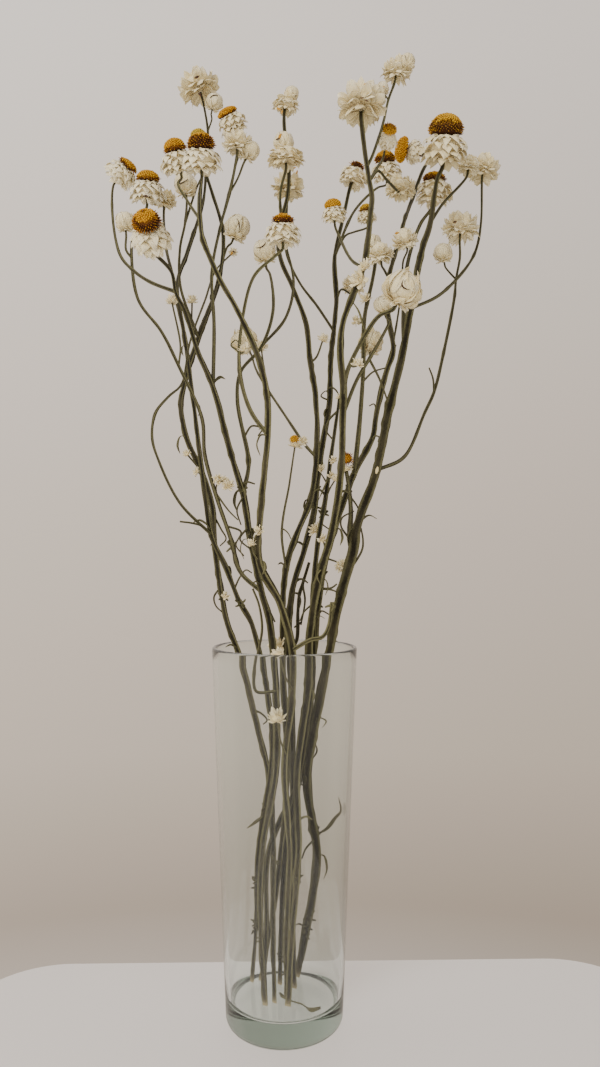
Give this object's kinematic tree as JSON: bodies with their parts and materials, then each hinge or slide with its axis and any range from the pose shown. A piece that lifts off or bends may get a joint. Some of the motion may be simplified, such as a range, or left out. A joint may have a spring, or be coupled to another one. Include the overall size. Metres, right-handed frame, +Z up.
{
  "type": "dried everlasting flowers in a glass vase",
  "caption": "Loose bunch of dried winged everlasting with papery ivory blooms and golden discs on long winged stems, standing in a tall clear glass cylinder vase.",
  "frame": {"origin": "centre of the vase's flat underside, on the surface that it stands on", "axes": "+Z up along the vase's axis, +X to the right and +Y to the back as seen from the front"},
  "size_m": [0.2686, 0.1854, 0.6789],
  "materials": {
    "glass": "clear, faintly green, polished",
    "stem": "dry, ridged, olive brown",
    "bract": "papery, slightly silky",
    "disc": "dry golden florets"
  },
  "bodies": {
    "root": {"vase": "glass", "stem_1": "stem", "stem_2": "stem", "stem_3": "stem", "stem_4": "stem", "stem_5": "stem", "stem_6": "stem", "stem_7": "stem", "stem_8": "stem", "stem_9": "stem", "stem_10": "stem", "bloom_1": "bract", "bloom_2": "bract", "bloom_4": "bract", "bloom_5": "bract", "bloom_5b": "bract", "bloom_6": "bract", "bloom_7": "bract", "bloom_8": "bract", "bloom_9": "bract", "bloom_10": "bract", "bloom_12": "bract", "bloom_14": "bract", "bloom_15": "bract", "bloom_16": "bract", "bloom_17": "bract", "bloom_18": "bract", "bloom_20": "bract", "bloom_22": "bract", "bloom_23": "bract", "bloom_25": "bract", "bloom_26": "bract", "bloom_27": "bract", "bloom_28": "bract", "bloom_29": "bract", "bloom_30": "bract", "bloom_31": "bract", "bloom_32": "bract", "bloom_33": "bract", "bloom_34a": "bract", "bloom_34b": "bract", "bloom_35": "bract", "bloom_36": "bract", "bloom_37": "bract", "bloom_38": "bract", "bloom_39": "bract", "disc_2": "disc", "disc_4": "disc", "disc_5": "disc", "disc_6": "disc", "disc_7": "disc", "disc_10": "disc", "disc_17": "disc", "disc_25": "disc", "disc_26": "disc", "disc_27": "disc", "disc_28": "disc", "disc_29": "disc", "disc_32": "disc"}
  },
  "joints": []
}
